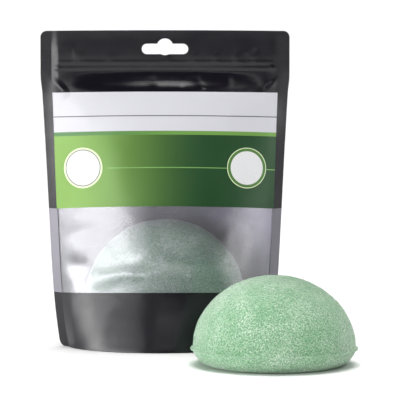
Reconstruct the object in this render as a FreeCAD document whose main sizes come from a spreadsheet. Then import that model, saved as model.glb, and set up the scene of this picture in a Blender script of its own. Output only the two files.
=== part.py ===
import FreeCAD, Part
import os

import Sketcher

"""Konjac face sponge with its zip-top stand-up pouch, in millimetres.

The origin is the centre of the loose sponge's flat underside, on the table.
+X runs to the right along the pouch's front, +Y from the sponge back towards the pouch, +Z is up.
"""

SIZES = {
    # Loose sponge: a half ball over a round-edged underside, with a thin moulding lip between them.
    "sponge_radius": 39.5,
    "sponge_dome_height": 35.4,
    "sponge_underside_height": 7.4,
    "sponge_edge_radius": 6.8,
    "sponge_lip_width": 1.0,
    "sponge_lip_height": 0.9,
    # The pouch stands behind the sponge and to its left.
    "pouch_left": 54.0,
    "pouch_back": 65.0,
    # Pouch film, flat: the width over both side seals, and the welded strip along each side.
    "pouch_width": 125.0,
    "seal_width": 5.5,
    "film_thickness": 0.2,
    "window_thickness": 0.1,
    "label_thickness": 0.1,
    "laminate_gap": 0.05,
    "seam_gap": 0.1,
    # Heights, each from the level below it: table, window, label, fold of the mouth, zip, top edge.
    "band_height": 27.5,
    "window_span": 42.5,
    "label_span": 58.5,
    "fold_rise": 5.5,
    "zip_rise": 5.0,
    "zip_span": 6.5,
    "header_span": 14.0,
    # How far each web bows out from the chord between the side seals at those levels.
    "foot_bow_depth": 24.5,
    "band_bow_depth": 19.2,
    "window_bow_depth": 14.2,
    "label_bow_depth": 6.5,
    "zip_bow_depth": 0.4,
    "top_bow_depth": 0.3,
    # Half the space between the two webs, at the side seals and at the open top edge.
    "web_parting_gap": 0.2,
    "top_parting_gap": 0.3,
    "fold_gap": 0.2,
    "corner_radius": 3.2,
    # The clear strip laps the printed film; the label and its stickers lie on it.
    "window_lap": 4.0,
    "badge_radius": 10.3,
    "badge_side_gap": 3.2,
    "badge_rise": 20.0,
    # Zip: a rib on the front track presses between two rails on the rear track.
    "zip_flange_thickness": 0.3,
    "zip_reach_depth": 0.8,
    "zip_play_gap": 0.15,
    "rib_height": 1.0,
    "rail_height": 0.8,
    "zip_margin": 0.5,
    "zip_end_gap": 2.5,
    # Hang slot through both lips: a long slot with a round bump on top.
    "slot_length": 23.4,
    "slot_height": 5.3,
    "slot_rise": 4.7,
    "bump_radius": 4.2,
    "bump_rise": 2.6,
    # Bottom gusset: an arch of film between the two webs.
    "gusset_rise": 14.5,
    "gusset_gap": 0.3,
    # Packed sponge: the same half ball, squeezed from front to back, with room left to the webs.
    "packed_side_gap": 12.1,
    "packed_film_gap": 1.1,
    "packed_dome_height": 40.2,
    "packed_underside_height": 7.2,
    "packed_seat_gap": 0.4,
    # One length for every tool that has to run past what it cuts.
    "overrun": 2.0,
}

ANGLES = {
    # The side seals lean back where the pouch is full.
    "foot_lean": 38.0,
    "band_lean": 42.0,
    "window_lean": 40.0,
    "label_lean": 18.0,
    "zip_lean": 0.0,
    "top_lean": 0.0,
    # The packed sponge has rolled to the right, and its underside is cut flat at this latitude.
    "packed_roll": 4.0,
    "packed_base_latitude": 30.0,
}

DERIVED = {
    "window_height": "=band_height + window_span",
    "label_height": "=window_height + label_span",
    "fold_height": "=label_height + fold_rise",
    "zip_low_height": "=fold_height + zip_rise",
    "zip_high_height": "=zip_low_height + zip_span",
    "pouch_height": "=zip_high_height + header_span",
    "slot_centre_height": "=zip_high_height + slot_rise",
    "badge_height": "=window_height + badge_rise",
    "film_width": "=pouch_width - 2 * seal_width",
    "zip_stack": "=2 * zip_flange_thickness + zip_reach_depth + zip_play_gap",
    "zip_parting_gap": "=zip_stack / 2 + laminate_gap",
    "zip_middle": "=(zip_low_height + zip_high_height) / 2",
    "pouch_x": "=0 - pouch_left",
    "half_reach": "=pouch_width / 2 + overrun",
    "half_depth": "=foot_bow_depth + web_parting_gap + film_thickness + overrun",
}

# The round of the sponge's lower edge stays inside this share of the underside's height.
EDGE_ROUND_SHARE = 0.95

# Levels of the pouch from the table up: name, height and half the space between the webs.
LEVELS = (
    ("foot", "0", "sizes.web_parting_gap"),
    ("band", "sizes.band_height", "sizes.web_parting_gap"),
    ("window", "sizes.window_height", "sizes.web_parting_gap"),
    ("label", "sizes.label_height", "sizes.web_parting_gap"),
    ("zip_low", "sizes.zip_low_height", "sizes.zip_parting_gap"),
    ("zip_high", "sizes.zip_high_height", "sizes.zip_parting_gap"),
    ("top", "sizes.pouch_height", "sizes.top_parting_gap"),
)

doc = FreeCAD.newDocument("konjac_sponge")
sheet = doc.addObject("Spreadsheet::Sheet", "sizes")
finished = []


def fill_sheet():
    """Write each size, and the sizes that follow from others, as a cell with an alias."""
    cells = {**SIZES, **ANGLES, **DERIVED}
    for row, (alias, value) in enumerate(cells.items(), start=1):
        sheet.set(f"A{row}", alias)
        sheet.set(f"B{row}", str(value))
        sheet.setAlias(f"B{row}", alias)
    doc.recompute()


def number(expression):
    """Return an expression over the sheet's cells as a plain number."""
    value = sheet.evalExpression(expression)
    return float(getattr(value, "Value", value))


def bind(item, **expressions):
    """Bind properties to expressions; two underscores in a keyword stand for a dot."""
    for name, expression in expressions.items():
        item.setExpression(name.replace("__", "."), expression)


def place(item, x="0", y="0", z="0"):
    """Bind the place of an object to three expressions."""
    bind(item, Placement__Base__x=x, Placement__Base__y=y, Placement__Base__z=z)


def keep(item, label):
    """Name a finished sub-part and list it for export."""
    item.Label = label
    finished.append(item)
    return item


def cell_at(level, kind):
    """Return the cell with the bow or lean of a level; the two zip levels share one."""
    return f"sizes.{'zip' if level.startswith('zip') else level}_{kind}"


def half_chord(level):
    """Half the distance between the side seals, for film of a set width bowed out by its bulge.

    A flat arc is longer than its chord by 8/3 of the bulge squared over the chord.
    """
    bulge = cell_at(level, "bow_depth")
    return f"((sizes.film_width + sqrt(sizes.film_width^2 - 32 / 3 * {bulge}^2)) / 4)"


def arc_radius(half, bulge):
    """Radius of an arc of the given half chord and bulge."""
    return f"(({half}^2 + {bulge}^2) / (2 * {bulge}))"


def hold(sketch, kind, *picks, to=None):
    """Add a constraint; where it has a size, bind that size to an expression."""
    if to is None:
        sketch.addConstraint(Sketcher.Constraint(kind, *picks))
        return
    index = sketch.addConstraint(Sketcher.Constraint(kind, *picks, number(to)))
    sketch.setExpression(f"Constraints[{index}]", to)


def bowed_arc(half, ends, bulge):
    """Return an arc over the chord y = ends that bows by bulge along Y."""
    points = ((-half, ends), (0, ends + bulge), (half, ends))
    return Part.Arc(*(FreeCAD.Vector(x, y, 0) for x, y in points))


def line(start, end):
    """Return a straight edge between two points of a sketch."""
    return Part.LineSegment(FreeCAD.Vector(*start, 0), FreeCAD.Vector(*end, 0))


def polygon(sketch, corners):
    """Draw a closed run of straight edges."""
    for index, corner in enumerate(corners):
        sketch.addGeometry(line(corner, corners[(index + 1) % len(corners)]))
    for index in range(len(corners)):
        hold(sketch, "Coincident", index, 2, (index + 1) % len(corners), 1)


def level_sketch(name, height):
    """Add an empty sketch that lies level at a height, on the pouch's centre line."""
    sketch = doc.addObject("Sketcher::SketchObject", name)
    place(sketch, "sizes.pouch_x", "sizes.pouch_back", height)
    return sketch


def film_section(name, level, height, near, far):
    """Draw one bowed strip of film, from near to far of the seam plane, at one level."""
    half, bulge = half_chord(level), cell_at(level, "bow_depth")
    half_now, near_now, far_now, bulge_now = (number(text) for text in (half, near, far, bulge))
    sketch = level_sketch(f"{name}_{level}", height)
    outer = sketch.addGeometry(bowed_arc(half_now, -far_now, -bulge_now))
    inner = sketch.addGeometry(bowed_arc(half_now, -near_now, -bulge_now))
    left = sketch.addGeometry(line((-half_now, -near_now), (-half_now, -far_now)))
    right = sketch.addGeometry(line((half_now, -near_now), (half_now, -far_now)))
    for edge, end in ((left, 1), (right, 2)):
        hold(sketch, "Coincident", edge, 1, inner, end)
        hold(sketch, "Coincident", edge, 2, outer, end)
        hold(sketch, "Vertical", edge)
    hold(sketch, "Symmetric", outer, 1, outer, 2, -2)
    hold(sketch, "Horizontal", inner, 1, inner, 2)
    hold(sketch, "DistanceX", outer, 1, outer, 2, to=f"2 * {half}")
    hold(sketch, "DistanceY", outer, 2, -1, 1, to=far)
    hold(sketch, "DistanceY", inner, 2, -1, 1, to=near)
    for arc in (outer, inner):
        hold(sketch, "Radius", arc, to=arc_radius(half, bulge))
    return sketch


def loft(name, sections):
    """Stretch film straight between sections."""
    skin = doc.addObject("Part::Loft", name)
    skin.Sections = sections
    skin.Solid = True
    skin.Ruled = True
    return skin


def web(name, inset, thickness):
    """Loft a strip of film over the pouch's whole height, set off from the parting by inset."""
    sections = []
    for level, height, parting in LEVELS:
        near = f"({parting} + {inset})"
        sections.append(film_section(name, level, height, near, f"({near} + {thickness})"))
    return loft(name, sections)


def slab(name, low, high, half_width="sizes.half_reach"):
    """Add a box that spans the pouch from front to back between two heights."""
    box = doc.addObject("Part::Box", name)
    bind(box, Length=f"2 * {half_width}", Width="2 * sizes.half_depth", Height=f"{high} - {low}")
    place(box, f"sizes.pouch_x - {half_width}", "sizes.pouch_back - sizes.half_depth", low)
    return box


def bar(name, x, z, radius):
    """Add a round bar that runs from front to back right through the pouch."""
    rod = doc.addObject("Part::Cylinder", name)
    bind(rod, Radius=radius, Height="2 * sizes.half_depth")
    rod.Placement.Rotation = FreeCAD.Rotation(FreeCAD.Vector(1, 0, 0), 90)
    place(rod, f"sizes.pouch_x + {x}", "sizes.pouch_back + sizes.half_depth", z)
    return rod


def combine(kind, name, base, tool):
    """Combine two solids with a boolean of the given kind."""
    result = doc.addObject(f"Part::{kind}", name)
    result.Base = base
    result.Tool = tool
    return result


def fuse(name, *solids):
    """Join solids into one."""
    whole = doc.addObject("Part::MultiFuse", name)
    whole.Shapes = list(solids)
    whole.Refine = True
    return whole


def mirrored(name, source, normal):
    """Mirror a solid across the upright plane with this normal through the pouch's centre."""
    twin = doc.addObject("Part::Mirroring", name)
    twin.Source = source
    twin.Normal = normal
    bind(twin, Base__x="sizes.pouch_x", Base__y="sizes.pouch_back")
    return twin


def hang_slot():
    """Build the tool for the hang slot: a straight middle, two round ends and the bump."""
    reach = "((sizes.slot_length - sizes.slot_height) / 2)"
    centre, half = "sizes.slot_centre_height", "sizes.slot_height / 2"
    straight = slab("slot_straight", f"({centre} - {half})", f"({centre} + {half})", reach)
    left = bar("slot_left_end", f"(0 - {reach})", centre, half)
    right = bar("slot_right_end", reach, centre, half)
    crown = f"{centre} + {half} + sizes.bump_rise - sizes.bump_radius"
    return fuse("hang_slot", straight, left, right, bar("slot_bump", "0", crown, "sizes.bump_radius"))


def printed_films():
    """Cut the front and back webs into their printed bands and the two lips of the mouth."""
    front = web("front_web", "0", "sizes.film_thickness")
    back = mirrored("back_web", front, FreeCAD.Vector(0, 1, 0))
    slot = hang_slot()
    below, above = "(0 - sizes.overrun)", "(sizes.pouch_height + sizes.overrun)"
    lower = slab("lower_zone", below, "sizes.band_height")
    upper = slab("upper_zone", "sizes.window_height", "sizes.fold_height")
    panel = slab("panel_zone", below, "sizes.fold_height")
    lips = slab("lip_zone", "(sizes.fold_height + sizes.fold_gap)", above)
    keep(combine("Common", "front_lower", front, lower), "front_lower_film")
    keep(combine("Common", "front_upper", front, upper), "front_upper_film")
    keep(combine("Common", "back_panel", back, panel), "back_film")
    for side, skin in (("front", front), ("back", back)):
        blank = combine("Common", f"{side}_lip_blank", skin, lips)
        keep(combine("Cut", f"{side}_lip", blank, slot), f"{side}_lip_film")


def window_strip():
    """The clear strip lies behind the printed bands and laps them above and below."""
    inset = "(0 - sizes.laminate_gap - sizes.window_thickness)"
    clear = web("clear_web", inset, "sizes.window_thickness")
    low = "(sizes.band_height - sizes.window_lap)"
    zone = slab("window_zone", low, "(sizes.window_height + sizes.window_lap)")
    keep(combine("Common", "window", clear, zone), "window_film")


def labels():
    """A printed label covers the front film from seal to seal, with two round stickers on it."""
    on_film = "sizes.film_thickness + sizes.laminate_gap"
    paper = web("label_web", on_film, "sizes.label_thickness")
    zone = slab("label_zone", "sizes.window_height", "sizes.label_height")
    keep(combine("Common", "label", paper, zone), "front_label")
    on_label = f"{on_film} + sizes.label_thickness + sizes.laminate_gap"
    stickers = web("sticker_web", on_label, "sizes.label_thickness")
    offset = f"({half_chord('window')} - sizes.badge_side_gap - sizes.badge_radius)"
    for side, way in (("left", f"(0 - {offset})"), ("right", offset)):
        disc = bar(f"{side}_disc", way, "sizes.badge_height", "sizes.badge_radius")
        keep(combine("Common", f"{side}_sticker", stickers, disc), f"{side}_badge")


def seal_section(level, height):
    """Draw the welded side strip at one level: two films thick, leaning back from the seam."""
    inner, reach = f"({half_chord(level)} + sizes.seam_gap)", seal_reach(level)
    back = f"((sizes.seal_width - sizes.seam_gap) * sin({cell_at(level, 'lean')} * 1 deg))"
    half = "sizes.film_thickness"
    x, dx, dy, film = (number(text) for text in (inner, reach, back, half))
    sketch = level_sketch(f"seal_{level}", height)
    polygon(sketch, [(x, -film), (x + dx, dy - film), (x + dx, dy + film), (x, film)])
    for upright in (1, 3):
        hold(sketch, "Vertical", upright)
        hold(sketch, "Distance", upright, to=f"2 * {half}")
    hold(sketch, "DistanceX", -1, 1, 0, 1, to=inner)
    hold(sketch, "DistanceY", 0, 1, -1, 1, to=half)
    hold(sketch, "DistanceX", 0, 1, 0, 2, to=reach)
    hold(sketch, "DistanceY", 0, 1, 0, 2, to=back)
    return sketch


def seal_reach(level):
    """How far the side strip reaches out from the seam, which shrinks as it leans back."""
    return f"((sizes.seal_width - sizes.seam_gap) * cos({cell_at(level, 'lean')} * 1 deg))"


def corner_tool(level, height, inward):
    """Build what rounds the strip's outer corner at one end: a square less a round bar."""
    radius = "sizes.corner_radius"
    across = f"({half_chord(level)} + sizes.seam_gap + {seal_reach(level)} - {radius})"
    centre = f"({height} + {inward} * {radius})"
    beyond = f"({radius} + sizes.overrun)"
    square = doc.addObject("Part::Box", f"{level}_corner_square")
    bind(square, Length=beyond, Width="2 * sizes.half_depth", Height=beyond)
    low = f"({centre} - {beyond})" if inward > 0 else centre
    place(square, f"sizes.pouch_x + {across}", "sizes.pouch_back - sizes.half_depth", low)
    return combine("Cut", f"{level}_corner", square, bar(f"{level}_round", across, centre, radius))


def side_seals():
    """Loft the right seal, round its two outer corners and mirror it for the left."""
    strip = loft("seal_strip", [seal_section(level, height) for level, height, _ in LEVELS])
    corners = [corner_tool("foot", "0", 1), corner_tool("top", "sizes.pouch_height", -1)]
    for tool in corners:
        strip = combine("Cut", f"seal_less_{tool.Name}", strip, tool)
    keep(strip, "right_side_seal")
    keep(mirrored("left_seal", strip, FreeCAD.Vector(1, 0, 0)), "left_side_seal")


def hollow_section(level, height):
    """Draw the space between the webs at one level, short of the film by the gusset's clearance."""
    half, bulge = half_chord(level), f"({cell_at(level, 'bow_depth')} - sizes.gusset_gap)"
    half_now, bulge_now = number(half), number(bulge)
    sketch = level_sketch(f"hollow_{level}", height)
    front = sketch.addGeometry(bowed_arc(half_now, 0, -bulge_now))
    back = sketch.addGeometry(bowed_arc(half_now, 0, bulge_now))
    for arc in (front, back):
        hold(sketch, "Radius", arc, to=arc_radius(half, bulge))
    hold(sketch, "Coincident", front, 1, back, 2)
    hold(sketch, "Coincident", front, 2, back, 1)
    hold(sketch, "Symmetric", front, 1, front, 2, -1, 1)
    hold(sketch, "PointOnObject", front, 2, -1)
    hold(sketch, "DistanceX", front, 1, front, 2, to=f"2 * {half}")
    return sketch


def arch_outline():
    """Draw the gusset's arch from front to back, one film thick, standing on the table."""
    sketch = doc.addObject("Sketcher::SketchObject", "arch_outline")
    sketch.Placement.Rotation = FreeCAD.Rotation(FreeCAD.Vector(1, 1, 1), 120)
    place(sketch, "sizes.pouch_x", "sizes.pouch_back")
    span = "(sizes.foot_bow_depth - sizes.gusset_gap)"
    rise = "(sizes.gusset_rise - sizes.film_thickness)"
    half, bulge, film = (number(text) for text in (span, rise, "sizes.film_thickness"))
    under = sketch.addGeometry(bowed_arc(half, 0, bulge))
    over = sketch.addGeometry(bowed_arc(half, film, bulge))
    for end, side in ((2, -half), (1, half)):
        leg = sketch.addGeometry(line((side, 0), (side, film)))
        hold(sketch, "Coincident", leg, 1, under, end)
        hold(sketch, "Coincident", leg, 2, over, end)
        hold(sketch, "Vertical", leg)
    hold(sketch, "Symmetric", under, 1, under, 2, -1, 1)
    hold(sketch, "PointOnObject", under, 1, -1)
    hold(sketch, "Horizontal", over, 1, over, 2)
    hold(sketch, "DistanceX", under, 2, under, 1, to=f"2 * {span}")
    hold(sketch, "DistanceY", -1, 1, over, 1, to="sizes.film_thickness")
    for arc in (under, over):
        hold(sketch, "Radius", arc, to=arc_radius(span, rise))
    return sketch


def bottom_gusset():
    """Trim an arch that runs the pouch's width to the space between the webs at the foot."""
    hollow = loft("foot_hollow", [hollow_section(level, height) for level, height, _ in LEVELS[:2]])
    arch = doc.addObject("Part::Extrusion", "arch")
    arch.Base = arch_outline()
    arch.DirMode = "Normal"
    arch.Solid = True
    arch.Symmetric = True
    bind(arch, LengthFwd="2 * sizes.half_reach")
    keep(combine("Common", "gusset", hollow, arch), "bottom_gusset")


def plane_of(body, role):
    """Return one of a body's own origin planes."""
    return next(item for item in body.Origin.OriginFeatures if item.Role == role)


def rectangle(sketch, left, right, low, high):
    """Draw a rectangle and bind its sides to four expressions."""
    x_low, x_high, y_low, y_high = (number(text) for text in (left, right, low, high))
    polygon(sketch, [(x_low, y_low), (x_high, y_low), (x_high, y_high), (x_low, y_high)])
    for side, kind in enumerate(("Horizontal", "Vertical", "Horizontal", "Vertical")):
        hold(sketch, kind, side)
    hold(sketch, "DistanceX", -1, 1, 0, 1, to=left)
    hold(sketch, "DistanceY", -1, 1, 0, 1, to=low)
    hold(sketch, "DistanceX", 0, 1, 0, 2, to=f"{right} - {left}")
    hold(sketch, "DistanceY", 1, 1, 1, 2, to=f"{high} - {low}")


def zip_track(label, outlines):
    """Pad each outline of a zip track along the pouch's width, short of the side seals."""
    body = doc.addObject("PartDesign::Body", label)
    place(body, "sizes.pouch_x", "sizes.pouch_back", "sizes.zip_middle")
    for index, sides in enumerate(outlines):
        sketch = body.newObject("Sketcher::SketchObject", f"{label}_outline_{index}")
        sketch.AttachmentSupport = (plane_of(body, "YZ_Plane"), [""])
        sketch.MapMode = "FlatFace"
        rectangle(sketch, *sides)
        pad = body.newObject("PartDesign::Pad", f"{label}_pad_{index}")
        pad.Profile = sketch
        pad.Midplane = True
        bind(pad, Length=f"2 * ({half_chord('zip_low')} - sizes.zip_end_gap)")
    keep(body, label)


def zip_tracks():
    """The front track's rib stands between the rear track's two rails, with play all round."""
    tall = "((sizes.zip_high_height - sizes.zip_low_height) / 2 - sizes.zip_margin)"
    outside, inside = "(sizes.zip_stack / 2)", "(sizes.zip_stack / 2 - sizes.zip_flange_thickness)"
    middle, tip = f"({inside} + sizes.zip_flange_thickness / 2)", f"({inside} - sizes.zip_reach_depth)"
    rib, near = "(sizes.rib_height / 2)", "(sizes.rib_height / 2 + sizes.zip_play_gap)"
    far = f"({near} + sizes.rail_height)"
    front_flange = (f"(0 - {outside})", f"(0 - {inside})", f"(0 - {tall})", tall)
    front_rib = (f"(0 - {middle})", f"(0 - {tip})", f"(0 - {rib})", rib)
    zip_track("zip_front_track", [front_flange, front_rib])
    rear_flange = (inside, outside, f"(0 - {tall})", tall)
    rear_rails = [(tip, middle, near, far), (tip, middle, f"(0 - {far})", f"(0 - {near})")]
    zip_track("zip_rear_track", [rear_flange, *rear_rails])


def loose_sponge():
    """A round-edged puck, the moulding lip on it and the dome on that, about one upright axis."""
    body = doc.addObject("PartDesign::Body", "loose_sponge")
    puck = body.newObject("PartDesign::AdditiveCylinder", "underside")
    bind(puck, Radius="sizes.sponge_radius", Height="sizes.sponge_underside_height")
    doc.recompute()
    low = min(puck.Shape.Edges, key=lambda edge: edge.CenterOfMass.z)
    name = next(f"Edge{n}" for n, edge in enumerate(puck.Shape.Edges, 1) if edge.isSame(low))
    rounding = body.newObject("PartDesign::Fillet", "lower_edge")
    rounding.Base = (puck, [name])
    share = f"sizes.sponge_underside_height * {EDGE_ROUND_SHARE}"
    bind(rounding, Radius=f"min(sizes.sponge_edge_radius; {share})")
    lip = body.newObject("PartDesign::AdditiveCylinder", "moulding_lip")
    bind(lip, Radius="sizes.sponge_radius + sizes.sponge_lip_width", Height="sizes.sponge_lip_height")
    bind(lip, AttachmentOffset__Base__z="sizes.sponge_underside_height")
    dome = body.newObject("PartDesign::AdditiveEllipsoid", "dome")
    bind(dome, Radius1="sizes.sponge_dome_height", Radius2="sizes.sponge_radius")
    bind(dome, Radius3="sizes.sponge_radius")
    bind(dome, AttachmentOffset__Base__z="sizes.sponge_underside_height + sizes.sponge_lip_height")
    dome.Angle1 = 0
    for feature in (lip, dome):
        feature.AttachmentSupport = (plane_of(body, "XY_Plane"), [""])
        feature.MapMode = "FlatFace"
    keep(body, "loose_sponge")


def packed_sponge():
    """A squeezed dome over a shallow bowl cut flat, rolled a little, resting on the gusset."""
    half_width = f"({half_chord('band')} - sizes.packed_side_gap)"
    half_depth = "sizes.band_bow_depth - sizes.packed_film_gap"
    base = f"{half_width} * cos(sizes.packed_base_latitude * 1 deg)"
    drop = f"({base} * sin(sizes.packed_roll * 1 deg))"
    rim = f"sizes.gusset_rise + sizes.packed_seat_gap + {drop} + sizes.packed_underside_height"
    depth = "sizes.packed_underside_height / sin(sizes.packed_base_latitude * 1 deg)"
    halves = []
    for name, height in (("packed_dome", "sizes.packed_dome_height"), ("packed_bowl", depth)):
        half = doc.addObject("Part::Ellipsoid", name)
        bind(half, Radius1=height, Radius2=half_width, Radius3=half_depth)
        half.Placement.Rotation = FreeCAD.Rotation(FreeCAD.Vector(0, 1, 0), number("sizes.packed_roll"))
        place(half, "sizes.pouch_x", "sizes.pouch_back", rim)
        halves.append(half)
    dome, bowl = halves
    dome.Angle1 = 0
    bowl.Angle2 = 0
    bind(bowl, Angle1="0 - sizes.packed_base_latitude")
    keep(fuse("squeezed_sponge", dome, bowl), "packed_sponge")


def check():
    """Stop before anything is written if an object failed or a sub-part isn't one sound solid."""
    doc.recompute()
    failed = [item.Name for item in doc.Objects if {"Invalid", "Error"} & set(item.State)]
    for item in finished:
        shape = item.Shape
        sound = not shape.isNull() and shape.isValid() and len(shape.Solids) == 1
        if not sound:
            failed.append(item.Label)
    if failed:
        raise RuntimeError(f"these did not build: {failed}")


def export():
    """Write each sub-part to a file of its own name."""
    os.makedirs("parts", exist_ok=True)
    for item in finished:
        item.Shape.exportStep(f"parts/{item.Label}.step")
        print(f"{item.Label}: {item.Shape.Volume:.1f} mm3")


fill_sheet()
loose_sponge()
printed_films()
window_strip()
labels()
side_seals()
bottom_gusset()
zip_tracks()
packed_sponge()
check()
export()
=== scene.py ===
"""Looks of a konjac face sponge and its zip-top stand-up pouch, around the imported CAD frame.

Sizes are written in millimetres and multiplied by MM; the meshes are in metres, in the row frame.
"""

import logging
import math
from contextlib import contextmanager
from dataclasses import dataclass, field
from enum import Enum
from typing import Any, Callable, Iterator, Sequence

import bpy
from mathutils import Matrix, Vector, noise


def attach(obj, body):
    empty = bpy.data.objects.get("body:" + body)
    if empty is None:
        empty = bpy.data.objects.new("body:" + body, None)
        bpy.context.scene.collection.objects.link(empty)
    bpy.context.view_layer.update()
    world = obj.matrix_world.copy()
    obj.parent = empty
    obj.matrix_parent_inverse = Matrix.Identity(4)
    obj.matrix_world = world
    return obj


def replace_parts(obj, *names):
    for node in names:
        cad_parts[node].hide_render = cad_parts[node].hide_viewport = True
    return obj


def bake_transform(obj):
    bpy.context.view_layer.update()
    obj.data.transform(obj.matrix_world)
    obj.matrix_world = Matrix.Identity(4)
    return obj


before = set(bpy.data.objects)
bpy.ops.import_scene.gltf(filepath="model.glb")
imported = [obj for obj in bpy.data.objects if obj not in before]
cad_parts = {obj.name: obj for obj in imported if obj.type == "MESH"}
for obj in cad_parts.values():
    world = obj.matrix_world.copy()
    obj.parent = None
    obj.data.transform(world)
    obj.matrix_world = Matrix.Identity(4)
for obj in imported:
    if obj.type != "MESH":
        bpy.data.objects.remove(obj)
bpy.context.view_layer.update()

MM = 0.001
PHOTO_SIDE = 400
LOG = logging.getLogger("konjac_set")
Relief = Callable[[float, float], float]
Piece = bpy.types.Object
Material = bpy.types.Material
Tree = bpy.types.NodeTree
# Two places closer than this, in metres, are the same place.
TOUCH = 1e-6
# The least range of a relief, so that flat film doesn't divide by zero.
LEAST_RELIEF = 1e-6
# A face looks a way when its normal has this share along it; the lining starts at a smaller one.
FACING = 0.9
LINING = 0.2


class Side(Enum):
    """A web of the pouch; the value is the way it faces along Y."""

    FRONT = -1
    BACK = 1


class Half(Enum):
    """A half of the pouch; the value is its side of the centre along X."""

    LEFT = -1
    RIGHT = 1


class Mod(Enum):
    """The modifiers that finish a piece."""

    LATTICE = "LATTICE"
    SOLIDIFY = "SOLIDIFY"
    BOOLEAN = "BOOLEAN"
    REMESH = "REMESH"
    DISPLACE = "DISPLACE"
    BEVEL = "BEVEL"
    SMOOTH = "SMOOTH"


class Grain(Enum):
    """Kinds of texture that roughen a mesh."""

    SOFT = "CLOUDS"
    CELLS = "VORONOI"


def linear(code: str) -> tuple[float, float, float, float]:
    """Turn an sRGB hex colour into linear light.

    Args:
        code: Six hex digits after a hash sign.

    Returns:
        Red, green, blue and an alpha of one.
    """
    channels = [int(code[i : i + 2], 16) / 255 for i in (1, 3, 5)]
    red, green, blue = (c / 12.92 if c <= 0.04045 else ((c + 0.055) / 1.055) ** 2.4 for c in channels)
    return red, green, blue, 1.0


def add_node(tree: Tree, kind: str, inputs: dict | None = None, **settings: Any) -> Any:
    """Add a node, set its properties and fill or link its inputs.

    Args:
        tree: The node tree.
        kind: The node's type name, without the ShaderNode that it starts with.
        inputs: Values or output sockets, by the input's name or number.
        settings: Properties by name.

    Returns:
        The new node.
    """
    node = tree.nodes.new(f"ShaderNode{kind}")
    for key, value in settings.items():
        setattr(node, key, value)
    for key, value in (inputs or {}).items():
        if isinstance(value, bpy.types.NodeSocket):
            tree.links.new(value, node.inputs[key])
        else:
            node.inputs[key].default_value = value
    return node


def blank_material(name: str) -> tuple[Material, Tree]:
    """Make a material with an empty node tree.

    Args:
        name: The finish's name.

    Returns:
        The material and its tree.
    """
    material = bpy.data.materials.new(name)
    material.use_nodes = True
    material.node_tree.nodes.clear()
    return material, material.node_tree


def deselect() -> None:
    """Deselect every object, so that an operator acts only on what it adds."""
    bpy.ops.object.select_all(action="DESELECT")


def activate(piece: Piece) -> None:
    """Select only this piece and make it active.

    Args:
        piece: The piece.
    """
    deselect()
    piece.select_set(True)
    bpy.context.view_layer.objects.active = piece


@contextmanager
def editing(piece: Piece) -> Iterator[None]:
    """Hold a piece in edit mode, with everything selected at the start.

    Args:
        piece: The piece.

    Yields:
        Nothing, while the edit lasts.
    """
    activate(piece)
    bpy.ops.object.mode_set(mode="EDIT")
    bpy.ops.mesh.select_all(action="SELECT")
    yield
    bpy.ops.object.mode_set(mode="OBJECT")


def pick(piece: Piece, test: Callable[[Any], bool], mode: str = "FACE") -> None:
    """Select a piece's faces or vertices by a test, and stay in edit mode.

    Args:
        piece: The piece in edit mode.
        test: Takes a face or a vertex of the mesh.
        mode: FACE or VERT.
    """
    bpy.ops.mesh.select_mode(type=mode)
    bpy.ops.mesh.select_all(action="DESELECT")
    bpy.ops.object.mode_set(mode="OBJECT")
    for item in piece.data.polygons if mode == "FACE" else piece.data.vertices:
        item.select = test(item)
    bpy.ops.object.mode_set(mode="EDIT")


def slice_all(point: tuple[float, float, float], normal: tuple[float, float, float]) -> None:
    """Cut the whole mesh in edit mode along a plane, and keep both sides."""
    bpy.ops.mesh.select_all(action="SELECT")
    bpy.ops.mesh.bisect(plane_co=point, plane_no=normal)


def finish_with(piece: Piece, kind: Mod, **settings: Any) -> None:
    """Add a modifier to a piece and apply it.

    Args:
        piece: The piece.
        kind: The modifier.
        settings: Its properties by name.
    """
    modifier = piece.modifiers.new(kind.name.lower(), kind.value)
    for key, value in settings.items():
        setattr(modifier, key, value)
    activate(piece)
    bpy.ops.object.modifier_apply(modifier=modifier.name)


def settle(piece: Piece, name: str, angle: float = 40.0) -> None:
    """Name a piece, put its place into its mesh and shade it smooth.

    Args:
        piece: The piece.
        name: Its name from now on.
        angle: Edges up to this many degrees look smooth.
    """
    piece.name = piece.data.name = name
    activate(piece)
    bpy.ops.object.transform_apply(location=True, rotation=True, scale=True)
    bpy.ops.object.shade_smooth_by_angle(angle=math.radians(angle))


def dress(piece: Piece, slot: str, *materials: Material) -> None:
    """Give a piece its materials.

    Args:
        piece: The piece, which may hold empty places for them.
        slot: The record's material slot; not used.
        materials: The materials in order.
    """
    slots = piece.data.materials
    for index, material in enumerate(materials):
        if index < len(slots):
            slots[index] = material
        else:
            slots.append(material)


def emboss(piece: Piece, form: "PouchForm", side: Side, relief: Relief) -> None:
    """Press a relief into flat film, outwards where it is positive.

    Args:
        piece: Film that still lies flat in the seam plane.
        form: The pouch's form.
        side: The web the film belongs to.
        relief: Millimetres outwards at a place across and up the flat film.
    """
    rise = [relief(v.co.x / MM - form.centre_x, v.co.z / MM) for v in piece.data.vertices]
    low, high = min(rise), max(max(rise), min(rise) + LEAST_RELIEF)
    group = piece.vertex_groups.new(name="relief")
    for index, value in enumerate(rise):
        group.add([index], (value - low) / (high - low), "REPLACE")
    shared = {"direction": "Y", "mid_level": 0.0}
    out = side.value * MM
    finish_with(piece, Mod.DISPLACE, strength=(high - low) * out, vertex_group="relief", **shared)
    finish_with(piece, Mod.DISPLACE, strength=low * out, **shared)
    piece.vertex_groups.clear()


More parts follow.
